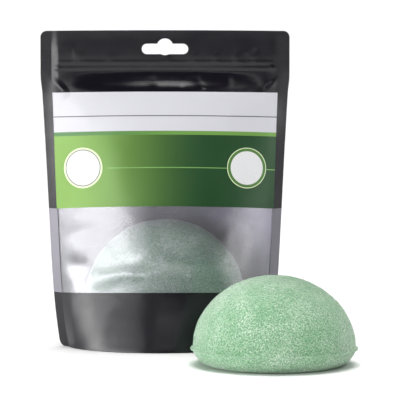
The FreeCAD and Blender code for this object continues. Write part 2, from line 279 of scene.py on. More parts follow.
def roughen(piece: Piece, grain: Grain, size: float, strength: float) -> None:
    """Move a piece's surface in and out by a texture.

    Args:
        piece: The piece.
        grain: The kind of texture.
        size: Size of its lumps in millimetres.
        strength: From lowest to highest in millimetres.
    """
    texture = bpy.data.textures.new(f"{piece.name}_{grain.name.lower()}", grain.value)
    texture.noise_scale = size * MM
    finish_with(
        piece, Mod.DISPLACE, texture=texture, texture_coords="LOCAL", strength=strength * MM, mid_level=0.5
    )


@dataclass(frozen=True)
class Level:
    """A level: its height, a web's bow, half the parting, a seal's lean and a printed line's rise."""

    height: float
    bow: float
    parting: float
    lean: float
    crown: float


@dataclass(frozen=True)
class PouchForm:
    """The pouch's form: where each point of the flat film lies once the pouch is filled."""

    centre_x: float = -54.0
    centre_y: float = 65.0
    film_width: float = 114.0
    seal_start: float = 57.1
    seal_end: float = 62.5
    height: float = 159.5
    weld_power: int = 40
    levels: tuple[Level, ...] = (
        Level(0.0, 24.5, 0.2, 38.0, 0.0),
        Level(27.5, 19.2, 0.2, 42.0, 2.0),
        Level(70.0, 14.2, 0.2, 40.0, 2.4),
        Level(128.5, 6.5, 0.2, 18.0, 0.8),
        Level(139.0, 0.4, 0.825, 0.0, 0.2),
        Level(145.5, 0.4, 0.825, 0.0, 0.2),
        Level(159.5, 0.3, 0.3, 0.0, 0.3),
    )

    def at(self, height: float) -> Level:
        """Return the level at a height, on a smooth curve through the known levels that never overshoots.

        Args:
            height: Place up the flat film; past the pouch's ends the nearer end counts.

        Returns:
            The level there.
        """
        height = min(max(height, 0.0), self.height)
        index = next(i for i in range(1, len(self.levels)) if height <= self.levels[i].height)
        low, high = self.levels[index - 1], self.levels[index]
        span = high.height - low.height
        share = (height - low.height) / span
        values = []
        for name in ("bow", "parting", "lean", "crown"):
            start, end = getattr(low, name), getattr(high, name)
            slopes = [self._slope(index - 1, name) * span, self._slope(index, name) * span]
            ease = share * share * (3 - 2 * share)
            bend = share * (1 - share)
            value = start + (end - start) * ease
            values.append(value + bend * ((1 - share) * slopes[0] - share * slopes[1]))
        return Level(height, *values)

    def _slope(self, index: int, name: str) -> float:
        """Return the slope of one value at a known level: the harmonic mean of the slopes beside it.

        Args:
            index: The level's number.
            name: The value's field.

        Returns:
            The slope: at the foot the one above it, at the top and where the two differ in sign zero.
        """
        if index in (0, len(self.levels) - 1):
            return 0.0 if index else self._run(0, name)
        below, above = self._run(index - 1, name), self._run(index, name)
        return 2 * below * above / (below + above) if below * above > 0 else 0.0

    def _run(self, index: int, name: str) -> float:
        """Return the straight slope of one value from a level to the next."""
        low, high = self.levels[index], self.levels[index + 1]
        return (getattr(high, name) - getattr(low, name)) / (high.height - low.height)

    def half_chord(self, bow: float) -> float:
        """Return half the distance between the seals for film that bows by this much."""
        # From length = chord + 8 / 3 * bow**2 / chord, which holds for a shallow arc.
        return (self.film_width + math.sqrt(self.film_width**2 - 32 / 3 * bow**2)) / 4

    def web_point(self, side: Side, across: float, height: float) -> Vector:
        """Return where a point of a flat web lies on the filled pouch.

        Args:
            side: The web.
            across: Place across the flat film from its middle.
            height: Place up the flat film.

        Returns:
            The point on the film's inner face, in millimetres.
        """
        level = self.at(height)
        half = self.half_chord(level.bow)
        radius = (half**2 + level.bow**2) / (2 * level.bow)
        share = 2 * across / self.film_width
        turn = math.asin(half / radius) * share
        parting = level.parting * (1 - min(abs(share), 1.0) ** self.weld_power)
        depth = parting + level.bow - radius * (1 - math.cos(turn))
        rise = level.crown * max(0.0, 1 - share**2)
        return Vector(
            (self.centre_x + radius * math.sin(turn), self.centre_y + side.value * depth, height + rise)
        )

    def seal_point(self, half: Half, across: float, height: float) -> Vector:
        """Return where a point of a flat side strip lies on the filled pouch.

        Args:
            half: The side it is on.
            across: Place outwards from the pouch's middle on the flat film.
            height: Place up the flat film.

        Returns:
            The point in millimetres.
        """
        level = self.at(height)
        start = self.half_chord(level.bow) + self.seal_start - self.film_width / 2
        reach, lean = across - self.seal_start, math.radians(level.lean)
        x = self.centre_x + half.value * (start + reach * math.cos(lean))
        return Vector((x, self.centre_y + reach * math.sin(lean), height))


@dataclass(frozen=True)
class Crease:
    """A fold in film from one point of the flat sheet to another; a negative depth goes inwards.

    The width counts on the left of the way from start to end, the far width on its right.
    """

    start: tuple[float, float]
    end: tuple[float, float]
    width: float
    depth: float
    far: float | None = None
    fades: bool = True
    via: tuple[tuple[float, float], ...] = ()

    def rise(self, across: float, height: float) -> float:
        """Return how far the crease lifts the film at a place.

        Args:
            across: Place across the flat film from its middle.
            height: Place up the flat film.

        Returns:
            Millimetres outwards.
        """
        here = Vector((across, height))
        path = [Vector(point) for point in (self.start, *self.via, self.end)]
        best = (math.inf, 0.0)
        for index, (start, end) in enumerate(zip(path, path[1:])):
            run = end - start
            share = min(max((here - start).dot(run) / run.length_squared, 0.0), 1.0)
            width = self.width if self.far is None or run.cross(here - start) > 0 else self.far
            gap = (here - start - run * share).length / width
            best = min(best, (gap, (index + share) / (len(path) - 1)))
        ends = math.sin(math.pi * best[1]) if self.fades else 1.0
        return self.depth * ends * math.exp(-best[0] ** 2)


@dataclass(frozen=True)
class FilmRelief:
    """What handling has done to a film: creases, and a slack ripple over the whole sheet.

    Both fade out at the sheet's sides and between the two heights; shared creases run on past those heights.
    """

    creases: tuple[Crease, ...] = ()
    shared: tuple[Crease, ...] = ()
    ripple: float = 0.12
    ripple_size: float = 16.0
    seed: float = 0.0
    low: float = -math.inf
    high: float = math.inf
    fade: float = 6.0
    half_width: float = 57.0

    def __call__(self, across: float, height: float) -> float:
        """Return the relief at a place of the flat film.

        Args:
            across: Place across the flat film from its middle.
            height: Place up the flat film.

        Returns:
            Millimetres outwards.
        """
        place = Vector((across / self.ripple_size, height / self.ripple_size, self.seed))
        total = self.ripple * noise.noise(place) + sum(c.rise(across, height) for c in self.creases)
        side = min(max((self.half_width - abs(across)) / self.fade, 0.0), 1.0)
        ends = min(max(min(height - self.low, self.high - height) / self.fade, 0.0), 1.0)
        return side * (total * ends + sum(c.rise(across, height) for c in self.shared))


@dataclass
class Cage:
    """A lattice that bows flat film into place on the pouch; a row or column stands outside each edge."""

    form: PouchForm
    target: Callable[[float, float], Vector]
    left: float
    right: float
    low: float
    high: float
    columns: int = 39
    rows: int = 41
    depth: float = 4.0

    def build(self) -> Piece:
        """Add the lattice and pull its points to where the film goes.

        Returns:
            The lattice, which the caller removes.
        """
        wide, tall = self.right - self.left, self.high - self.low
        wide *= (self.columns - 1) / (self.columns - 3)
        tall *= (self.rows - 1) / (self.rows - 3)
        centre = (
            self.form.centre_x + (self.left + self.right) / 2,
            self.form.centre_y,
            (self.low + self.high) / 2,
        )
        deselect()
        bpy.ops.object.add(type="LATTICE", location=Vector(centre) * MM)
        cage = bpy.context.object
        cage.scale = Vector((wide, self.depth, tall)) * MM
        cage.data.points_u, cage.data.points_v, cage.data.points_w = self.columns, 2, self.rows
        for axis, kind in (("u", "KEY_CATMULL_ROM"), ("v", "KEY_LINEAR"), ("w", "KEY_CATMULL_ROM")):
            setattr(cage.data, f"interpolation_type_{axis}", kind)
        for point in cage.data.points:
            flat = [centre[i] + point.co[i] * cage.scale[i] / MM for i in range(3)]
            goal = self.target(flat[0] - self.form.centre_x, flat[2])
            goal = goal + Vector((0, flat[1] - self.form.centre_y, 0)) - Vector(centre)
            point.co_deform = [goal[i] * MM / cage.scale[i] for i in range(3)]
        bpy.context.view_layer.update()
        return cage


def bow(pieces: Sequence[Piece], cage: Cage) -> None:
    """Bow flat pieces with a cage, then take the cage away.

    Args:
        pieces: Pieces that still lie flat.
        cage: The cage that bows them.
    """
    lattice = cage.build()
    for piece in pieces:
        finish_with(piece, Mod.LATTICE, object=lattice)
    bpy.data.objects.remove(lattice)


def flat_sheet(
    form: PouchForm,
    side: Side,
    span: tuple[float, float],
    rows: tuple[float, float],
    step: float,
    out: float = 0.0,
) -> Piece:
    """Cut a flat sheet of film in the seam plane, facing outwards.

    Args:
        form: The pouch's form.
        side: The web it is for.
        span: Left and right edge from the pouch's middle.
        rows: Lower and upper edge.
        step: Size of a mesh cell.
        out: How far outside the web's inner face it lies.

    Returns:
        The sheet, with a UV map that spans it.
    """
    wide, tall = span[1] - span[0], rows[1] - rows[0]
    place = (form.centre_x + sum(span) / 2, form.centre_y + side.value * out, sum(rows) / 2)
    turn = 0.0 if side is Side.FRONT else math.pi
    deselect()
    bpy.ops.mesh.primitive_grid_add(
        x_subdivisions=max(1, round(wide / step)),
        y_subdivisions=max(1, round(tall / step)),
        size=1.0,
        location=Vector(place) * MM,
        rotation=(math.pi / 2, 0.0, turn),
    )
    sheet = bpy.context.object
    sheet.scale = (wide * MM, tall * MM, 1.0)
    bpy.ops.object.transform_apply(location=True, rotation=True, scale=True)
    return sheet


def thicken(sheet: Piece, thickness: float) -> None:
    """Give a sheet its thickness on its outer side."""
    finish_with(sheet, Mod.SOLIDIFY, thickness=thickness * MM, offset=1.0, use_even_offset=True)


def line_inside(piece: Piece, side: Side) -> None:
    """Give the faces that look into the pouch the second material."""
    for face in piece.data.polygons:
        face.material_index = int(face.normal.y * side.value < -LINING)


@dataclass(frozen=True)
class BlackLaminate:
    """Printed PET on aluminium, satin black: dark, with broad soft reflections and a faint slack grain."""

    name: str = "satin_black_laminate"
    colour: str = "#0f0d15"
    roughness_range: tuple[float, float] = (0.16, 0.28)
    slack_mm: float = 9.0
    slack_depth_mm: float = 0.8
    grain_mm: float = 0.7
    grain_depth_mm: float = 0.1

    def material(self) -> Material:
        """Build the node material.

        Returns:
            The material.
        """
        material, tree = blank_material(self.name)
        place = add_node(tree, "TexCoord")
        slack = add_node(
            tree,
            "TexNoise",
            {"Vector": place.outputs["Object"], "Scale": 1 / (self.slack_mm * MM), "Detail": 2.0},
        )
        grain = add_node(
            tree,
            "TexNoise",
            {"Vector": place.outputs["Object"], "Scale": 1 / (self.grain_mm * MM), "Detail": 3.0},
        )
        rough = add_node(
            tree,
            "MapRange",
            {
                "Value": slack.outputs["Fac"],
                "To Min": self.roughness_range[0],
                "To Max": self.roughness_range[1],
            },
        )
        bump = add_node(
            tree, "Bump", {
                "Strength": 0.12, "Distance": self.grain_depth_mm * MM, "Height": grain.outputs["Fac"]
            }
        )
        sway = add_node(
            tree,
            "Bump",
            {
                "Strength": 0.1,
                "Distance": self.slack_depth_mm * MM,
                "Height": slack.outputs["Fac"],
                "Normal": bump.outputs["Normal"],
            },
        )
        shader = add_node(
            tree,
            "BsdfPrincipled",
            {
                "Base Color": linear(self.colour),
                "Roughness": rough.outputs["Result"],
                "IOR": 1.47,
                "Normal": sway.outputs["Normal"],
            },
        )
        add_node(tree, "OutputMaterial", {"Surface": shader.outputs["BSDF"]})
        return material


@dataclass(frozen=True)
class FoilLining:
    """The laminate's inside: aluminium under polyethylene, a dull silver grey that shows every ripple."""

    name: str = "dull_foil_lining"
    colour: str = "#85828a"
    roughness_range: tuple[float, float] = (0.24, 0.42)
    ripple_mm: float = 7.0
    ripple_depth_mm: float = 1.0

    def material(self) -> Material:
        """Build the node material.

        Returns:
            The material.
        """
        material, tree = blank_material(self.name)
        place = add_node(tree, "TexCoord")
        ripple = add_node(
            tree,
            "TexNoise",
            {"Vector": place.outputs["Object"], "Scale": 1 / (self.ripple_mm * MM), "Detail": 3.0},
        )
        rough = add_node(
            tree,
            "MapRange",
            {
                "Value": ripple.outputs["Fac"],
                "To Min": self.roughness_range[0],
                "To Max": self.roughness_range[1],
            },
        )
        bump = add_node(
            tree, "Bump", {
                "Strength": 0.4, "Distance": self.ripple_depth_mm * MM, "Height": ripple.outputs["Fac"]
            }
        )
        shader = add_node(
            tree,
            "BsdfPrincipled",
            {
                "Base Color": linear(self.colour),
                "Metallic": 0.9,
                "Roughness": rough.outputs["Result"],
                "Normal": bump.outputs["Normal"],
            },
        )
        add_node(tree, "OutputMaterial", {"Surface": shader.outputs["BSDF"]})
        return material


@dataclass(frozen=True)
class ClearFilm:
    """Clear cast polypropylene, a little smoky: sharp to look through, scuffed so that lamps smear."""

    name: str = "clear_polypropylene_film"
    tint: str = "#cccbd3"
    haze: float = 0.03
    scuff: float = 0.26
    ripple_mm: float = 12.0
    ripple_depth_mm: float = 1.0

    def material(self) -> Material:
        """Build the node material; lamp light passes straight through, as thin film lets it.

        Returns:
            The material.
        """
        material, tree = blank_material(self.name)
        place = add_node(tree, "TexCoord")
        ripple = add_node(
            tree,
            "TexNoise",
            {"Vector": place.outputs["Object"], "Scale": 1 / (self.ripple_mm * MM), "Detail": 1.0},
        )
        bump = add_node(
            tree, "Bump", {
                "Strength": 0.3, "Distance": self.ripple_depth_mm * MM, "Height": ripple.outputs["Fac"]
            }
        )
        shader = add_node(
            tree,
            "BsdfPrincipled",
            {
                "Base Color": linear(self.tint),
                "Roughness": 0.05,
                "IOR": 1.12,
                "Transmission Weight": 1.0 - self.haze,
                "Coat Weight": 1.0,
                "Coat Roughness": self.scuff,
                "Coat IOR": 1.9,
                "Coat Normal": bump.outputs["Normal"],
            },
        )
        path = add_node(tree, "LightPath")
        gap = add_node(tree, "BsdfTransparent", {"Color": linear(self.tint)})
        mixed = add_node(
            tree,
            "MixShader",
            {0: path.outputs["Is Shadow Ray"], 1: shader.outputs["BSDF"], 2: gap.outputs["BSDF"]},
        )
        add_node(tree, "OutputMaterial", {"Surface": mixed.outputs["Shader"]})
        return material


@dataclass(frozen=True)
class WeldedClear:
    """Clear film melted on to the back film's foil side: plain grey, faintly mottled by the sealing bar."""

    name: str = "welded_clear_film"
    colour: str = "#7d7b83"
    bar_mm: float = 1.6
    bar_depth_mm: float = 0.1

    def material(self) -> Material:
        """Build the node material.

        Returns:
            The material.
        """
        material, tree = blank_material(self.name)
        place = add_node(tree, "TexCoord")
        mottle = add_node(
            tree, "TexNoise", {"Vector": place.outputs["Object"], "Scale": 1 / (self.bar_mm * MM)}
        )
        bump = add_node(
            tree, "Bump", {
                "Strength": 0.2, "Distance": self.bar_depth_mm * MM, "Height": mottle.outputs["Fac"]
            }
        )
        shader = add_node(
            tree,
            "BsdfPrincipled",
            {
                "Base Color": linear(self.colour),
                "Metallic": 0.3,
                "Roughness": 0.4,
                "IOR": 1.45,
                "Normal": bump.outputs["Normal"],
            },
        )
        add_node(tree, "OutputMaterial", {"Surface": shader.outputs["BSDF"]})
        return material


@dataclass(frozen=True)
class LabelPrint:
    """Gravure print under clear film: opaque white, and green ink over foil that flares by a lamp; the green
    is lighter at the left, partly as printed and partly as a painted highlight.
    """

    name: str = "label_print_on_foil"
    white: str = "#cbcad1"
    dark_rule: str = "#3a3a3e"
    green_left_with_painted_highlight: str = "#6c9636"
    green_right: str = "#17441e"
    strip_left: str = "#3d6f34"
    strip_right: str = "#6d9a45"
    light_rule: str = "#7aa85c"
    tall_mm: float = 58.5
    wide_mm: float = 114.0
    boundary_mm: float = 38.4
    strip_mm: float = 2.0
    dark_rule_mm: float = 46.2
    light_rule_mm: float = 19.6
    light_rule_start_mm: float = -29.0
    rule_mm: float = 0.45
    green_fade: tuple[float, float] = (0.05, 0.7)
    foil_share: float = 0.12
    roughness_range: tuple[float, float] = (0.26, 0.36)
    slack_mm: float = 14.0
    slack_depth_mm: float = 0.8

    def material(self) -> Material:
        """Build the node material on the sheet's own UV map.

        Returns:
            The material.
        """
        material, tree = blank_material(self.name)
        sheet = add_node(tree, "UVMap", uv_map="UVMap")
        parts = add_node(tree, "SeparateXYZ", {0: sheet.outputs["UV"]})
        across, up = parts.outputs["X"], parts.outputs["Y"]
        is_green = add_node(
            tree, "Math", {0: up, 1: self.boundary_mm / self.tall_mm}, operation="LESS_THAN"
        )
        below_strip = add_node(
            tree,
            "Math",
            {0: up, 1: (self.boundary_mm - self.strip_mm) / self.tall_mm},
            operation="LESS_THAN",
        )
        blend = add_node(
            tree,
            "MapRange",
            {"Value": across, "From Min": self.green_fade[0], "From Max": self.green_fade[1]},
            interpolation_type="SMOOTHSTEP",
        )
        rules = []
        for height in (self.dark_rule_mm, self.light_rule_mm):
            hit = add_node(
                tree,
                "Math",
                {0: up, 1: height / self.tall_mm, 2: self.rule_mm / 2 / self.tall_mm},
                operation="COMPARE",
            )
            rules.append(hit.outputs[0])
        start = 0.5 + self.light_rule_start_mm / self.wide_mm
        past = add_node(tree, "Math", {0: across, 1: start}, operation="GREATER_THAN")
        light = add_node(tree, "Math", {0: rules[1], 1: past.outputs[0]}, operation="MULTIPLY")
        # The green runs from light at the left to dark at the right: a printed gradient with a painted
        # highlight on its left side.
        green = add_node(
            tree,
            "Mix",
            {0: blend.outputs[0], 6: linear(self.green_left_with_painted_highlight), 7: linear(self.green_right)},
            data_type="RGBA",
        )
        strip = add_node(
            tree,
            "Mix",
            {0: blend.outputs[0], 6: linear(self.strip_left), 7: linear(self.strip_right)},
            data_type="RGBA",
        )
        field_colour = add_node(
            tree,
            "Mix",
            {0: below_strip.outputs[0], 6: strip.outputs[2], 7: green.outputs[2]},
            data_type="RGBA",
        )
        paper = add_node(
            tree,
            "Mix",
            {0: is_green.outputs[0], 6: linear(self.white), 7: field_colour.outputs[2]},
            data_type="RGBA",
        )
        ruled = add_node(
            tree, "Mix", {0: rules[0], 6: paper.outputs[2], 7: linear(self.dark_rule)}, data_type="RGBA"
        )
        printed = add_node(
            tree,
            "Mix",
            {0: light.outputs[0], 6: ruled.outputs[2], 7: linear(self.light_rule)},
            data_type="RGBA",
        )
        foil = add_node(tree, "Math", {0: is_green.outputs[0], 1: self.foil_share}, operation="MULTIPLY")
        place = add_node(tree, "TexCoord")
        slack = add_node(
            tree,
            "TexNoise",
            {"Vector": place.outputs["Object"], "Scale": 1 / (self.slack_mm * MM), "Detail": 2.0},
        )
        bump = add_node(
            tree, "Bump", {
                "Strength": 0.2, "Distance": self.slack_depth_mm * MM, "Height": slack.outputs["Fac"]
            }
        )
        rough = add_node(
            tree,
            "MapRange",
            {
                "Value": slack.outputs["Fac"],
                "To Min": self.roughness_range[0],
                "To Max": self.roughness_range[1],
            },
        )
        shader = add_node(
            tree,
            "BsdfPrincipled",
            {
                "Base Color": printed.outputs[2],
                "Metallic": foil.outputs[0],
                "Roughness": rough.outputs[0],
                "IOR": 1.5,
                "Normal": bump.outputs["Normal"],
            },
        )
        add_node(tree, "OutputMaterial", {"Surface": shader.outputs["BSDF"]})
        return material


@dataclass(frozen=True)
class Ink:
    """Plain ink on a round sticker, under the same clear film: even, with a fine mottle from the press."""

    name: str
    colour: str
    roughness: float = 0.32
    mottle_mm: float = 1.2
    dimming: float = 0.93

    def material(self) -> Material:
        """Build the node material.

        Returns:
            The material.
        """
        material, tree = blank_material(self.name)
        place = add_node(tree, "TexCoord")
        mottle = add_node(
            tree, "TexNoise", {"Vector": place.outputs["Object"], "Scale": 1 / (self.mottle_mm * MM)}
        )
        full = linear(self.colour)
        dim = (*(channel * self.dimming for channel in full[:3]), 1.0)
        tone = add_node(tree, "Mix", {0: mottle.outputs["Fac"], 6: dim, 7: full}, data_type="RGBA")
        shader = add_node(
            tree,
            "BsdfPrincipled",
            {"Base Color": tone.outputs[2], "Roughness": self.roughness, "IOR": 1.45},
        )
        add_node(tree, "OutputMaterial", {"Surface": shader.outputs["BSDF"]})
        return material


@dataclass(frozen=True)
class ZipPlastic:
    """Extruded polyethylene zip: smoky and waxy, with draw lines along its length."""

    name: str = "extruded_polyethylene_zip"
    colour: str = "#3b393f"
    line_mm: float = 0.25
    line_depth_mm: float = 0.05
    line_stretch: float = 0.02

    def material(self) -> Material:
        """Build the node material.

        Returns:
            The material.
        """
        material, tree = blank_material(self.name)
        place = add_node(tree, "TexCoord")
        drawn = add_node(
            tree, "Mapping", {"Vector": place.outputs["Object"], "Scale": (self.line_stretch, 1.0, 1.0)}
        )
        lines = add_node(
            tree, "TexNoise", {"Vector": drawn.outputs["Vector"], "Scale": 1 / (self.line_mm * MM)}
        )
        bump = add_node(
            tree, "Bump", {
                "Strength": 0.2, "Distance": self.line_depth_mm * MM, "Height": lines.outputs["Fac"]
            }
        )
        shader = add_node(
            tree,
            "BsdfPrincipled",
            {
                "Base Color": linear(self.colour),
                "Roughness": 0.38,
                "IOR": 1.5,
                "Subsurface Weight": 0.1,
                "Normal": bump.outputs["Normal"],
            },
        )
        add_node(tree, "OutputMaterial", {"Surface": shader.outputs["BSDF"]})
        return material


@dataclass(frozen=True)
class Konjac:
    """Set konjac gel foam, tinted mint: open pores darkened by painted shade, translucent cell walls with
    painted glints, a pale fuzzy rim.
    """

    name: str = "mint_konjac_foam"
    wall: str = "#a9cdaa"
    body: str = "#84b98b"
    # The pit colour is painted shade in the pores.
    painted_pore_shade: str = "#528e5f"
    # The glint colour is a painted highlight.
    painted_glint: str = "#ebf4e9"
    fuzz: str = "#ffffff"
    pore_mm: float = 0.85
    cloud_mm: float = 12.0
    glint_mm: float = 0.45
    relief_mm: float = 0.4
    glow_mm: float = 2.5
    patchiness: float = 0.2

    def material(self) -> Material:
        """Build the node material.

        Returns:
            The material.
        """
        material, tree = blank_material(self.name)
        place = add_node(tree, "TexCoord").outputs["Object"]
        pores = add_node(tree, "TexVoronoi", {"Vector": place, "Scale": 1 / (self.pore_mm * MM)})
        clouds = add_node(
            tree, "TexNoise", {"Vector": place, "Scale": 1 / (self.cloud_mm * MM), "Detail": 3.0}
        )
        glints = add_node(
            tree, "TexNoise", {"Vector": place, "Scale": 1 / (self.glint_mm * MM), "Detail": 2.0}
        )
        deep = add_node(
            tree, "MapRange", {"Value": pores.outputs["Distance"], "From Min": 0.1, "From Max": 0.75}
        )
        flesh = add_node(
            tree,
            "Mix",
            {0: clouds.outputs["Fac"], 6: linear(self.body), 7: linear(self.wall)},
            data_type="RGBA",
        )
        # Painted shade: the pores take the darker pit colour.
        pores_with_painted_shade = add_node(
            tree, "Mix", {0: deep.outputs[0], 6: linear(self.painted_pore_shade), 7: flesh.outputs[2]}, data_type="RGBA"
        )
        # Painted glints: near-white colour where fine noise peaks, in patches set by the clouds.
        patchy = add_node(
            tree,
            "Math",
            {0: clouds.outputs["Fac"], 1: self.patchiness, 2: glints.outputs["Fac"]},
            operation="MULTIPLY_ADD",
        )
        bright = add_node(
            tree, "MapRange", {"Value": patchy.outputs[0], "From Min": 0.65, "From Max": 0.765}
        )
        colour = add_node(
            tree,
            "Mix",
            {0: bright.outputs[0], 6: pores_with_painted_shade.outputs[2], 7: linear(self.painted_glint)},
            data_type="RGBA",
        )
        height = add_node(tree, "Math", {0: deep.outputs[0], 1: glints.outputs["Fac"]}, operation="ADD")
        bump = add_node(
            tree, "Bump", {"Strength": 0.9, "Distance": self.relief_mm * MM, "Height": height.outputs[0]}
        )
        shader = add_node(
            tree,
            "BsdfPrincipled",
            {
                "Base Color": colour.outputs[2],
                "Roughness": 0.28,
                "IOR": 1.42,
                "Subsurface Weight": 0.25,
                "Subsurface Radius": (0.6, 1.0, 0.6),
                "Subsurface Scale": self.glow_mm * MM,
                "Sheen Weight": 0.7,
                "Sheen Roughness": 0.25,
                "Sheen Tint": linear(self.fuzz),
                "Normal": bump.outputs["Normal"],
            },
        )
        add_node(tree, "OutputMaterial", {"Surface": shader.outputs["BSDF"]})
        return material


@dataclass(frozen=True)
class StudioPaper:
    """White seamless paper, matt; its faint tooth is drawn coarser than the real one, so that it can show."""

    name: str = "white_seamless_paper"
    colour: str = "#f5f5f5"
    tooth_mm: float = 1.5
    tooth_depth_mm: float = 0.05

    def material(self) -> Material:
        """Build the node material.

        Returns:
            The material.
        """
        material, tree = blank_material(self.name)
        place = add_node(tree, "TexCoord")
        tooth = add_node(
            tree, "TexNoise", {"Vector": place.outputs["Object"], "Scale": 1 / (self.tooth_mm * MM)}
        )
        bump = add_node(
            tree, "Bump", {
                "Strength": 0.05, "Distance": self.tooth_depth_mm * MM, "Height": tooth.outputs["Fac"]
            }
        )
        shader = add_node(
            tree,
            "BsdfPrincipled",
            {
                "Base Color": linear(self.colour),
                "Roughness": 0.8,
                "Specular IOR Level": 0.1,
                "Normal": bump.outputs["Normal"],
            },
        )
        add_node(tree, "OutputMaterial", {"Surface": shader.outputs["BSDF"]})
        return material


@dataclass(frozen=True)
class Finishes:
    """All the set's finishes, built once."""

    black: Material = field(default_factory=lambda: BlackLaminate().material())
    foil: Material = field(default_factory=lambda: FoilLining().material())
    clear: Material = field(default_factory=lambda: ClearFilm().material())
    weld: Material = field(default_factory=lambda: WeldedClear().material())
    label: Material = field(default_factory=lambda: LabelPrint().material())
    white_ink: Material = field(default_factory=lambda: Ink("white_sticker_ink", "#e4e3e6").material())
    dark_ink: Material = field(default_factory=lambda: Ink("dark_sticker_ink", "#55624f").material())
    pale_ink: Material = field(default_factory=lambda: Ink("pale_sticker_ink", "#dfeec4").material())
    olive_ink: Material = field(default_factory=lambda: Ink("olive_sticker_ink", "#4d7a35").material())
    zip: Material = field(default_factory=lambda: ZipPlastic().material())
    konjac: Material = field(default_factory=lambda: Konjac().material())
    paper: Material = field(default_factory=lambda: StudioPaper().material())


# Creases by their start, end, width and depth, across and up the flat film in millimetres.
ZIP_LINES = tuple(Crease((-54.5, z), (54.5, z), 0.6, 0.13, fades=False) for z in (140.7, 143.7))
ZIP_ENDS = tuple(Crease((x - 1.5, 142.5), (x + 1.5, 139.5), 1.0, 0.35) for x in (-54.5, 54.0))
MOUTH_FOLDS = (
    Crease((-58.0, 137.0), (-48.5, 126.5), 1.3, 1.1, far=3.2),
    Crease((58.0, 137.0), (49.5, 127.5), 2.4, 0.7, far=1.1),
    Crease((-5.6, 138.5), (-4.6, 129.5), 1.2, 0.5, far=3.8),
    Crease((8.9, 138.0), (8.6, 129.0), 1.4, -0.35),
    Crease((15.4, 138.5), (19.5, 128.5), 1.2, 0.55, far=2.6),
    Crease((30.0, 137.5), (33.0, 131.0), 2.0, 0.25),
    Crease((-33.0, 137.5), (-35.0, 131.0), 3.0, 0.2),
)
HEADER_FOLDS = (
    Crease((-44.0, 143.0), (-45.0, 153.0), 1.8, 0.22, far=3.0),
    Crease((-28.0, 143.0), (-27.0, 149.0), 1.2, 0.12),
    Crease((1.0, 143.0), (2.0, 147.0), 1.2, 0.1),
    Crease((13.0, 142.5), (15.0, 149.5), 1.4, 0.16),
    Crease((24.5, 143.0), (25.5, 150.0), 1.3, 0.14),
    Crease((36.0, 142.5), (35.0, 150.5), 1.5, 0.16),
    Crease((40.0, 143.0), (41.0, 149.0), 1.1, -0.12),
    Crease((44.0, 142.5), (45.5, 151.0), 1.6, 0.18),
)
LABEL_DENTS = (
    Crease((38.0, 119.0), (27.0, 105.0), 4.0, 0.3),
    Crease((-50.0, 128.0), (-34.0, 108.0), 6.0, 0.35),
    Crease((-30.0, 76.0), (-22.0, 104.0), 7.0, 0.3),
)
FOOT_DENTS = (
    Crease((-42.0, -2.0), (-24.0, 24.0), 6.0, -0.2, far=5.0),
    Crease((-60.0, -12.0), (-44.0, -12.0), 36.0, 3.2, fades=False),
)
FRONT_RELIEF = FilmRelief(
    (*ZIP_LINES, *ZIP_ENDS, *MOUTH_FOLDS, *HEADER_FOLDS, *LABEL_DENTS, *FOOT_DENTS), seed=3.0
)
BACK_RELIEF = FilmRelief(
    creases=(
        *ZIP_LINES,
        *ZIP_ENDS,
        Crease((-57.0, 136.0), (-49.0, 126.0), 2.2, 0.8),
        Crease((57.0, 135.5), (48.0, 127.0), 2.0, 0.8),
        Crease((-20.0, 131.0), (-16.0, 137.0), 2.2, 0.6),
        Crease((24.0, 129.0), (20.0, 136.0), 2.4, 0.6),
    ),
    ripple=0.35,
    ripple_size=22.0,
    seed=11.0,
)
WINDOW_RELIEF = FilmRelief(
    creases=(
        Crease(
            (-50.0, 24.0),
            (12.0, 38.5),
            6.0,
            -0.9,
            far=4.0,
            via=((-36.0, 29.0), (-22.0, 34.0), (-10.0, 37.5)),
        ),
        Crease((-22.0, 41.0), (36.0, 41.5), 12.0, 1.1, far=6.0, via=((-8.0, 43.0), (10.0, 43.0))),
        Crease((-56.0, 42.0), (-38.0, 40.0), 5.0, -0.5),
        Crease((-32.0, 30.0), (-14.0, 35.0), 2.2, 0.3),
        Crease((4.0, 31.0), (24.0, 34.0), 2.0, 0.3),
    ),
    shared=FOOT_DENTS,
    ripple=0.22,
    ripple_size=16.0,
    seed=7.0,
    low=28.5,
    high=70.5,
    fade=8.0,
)


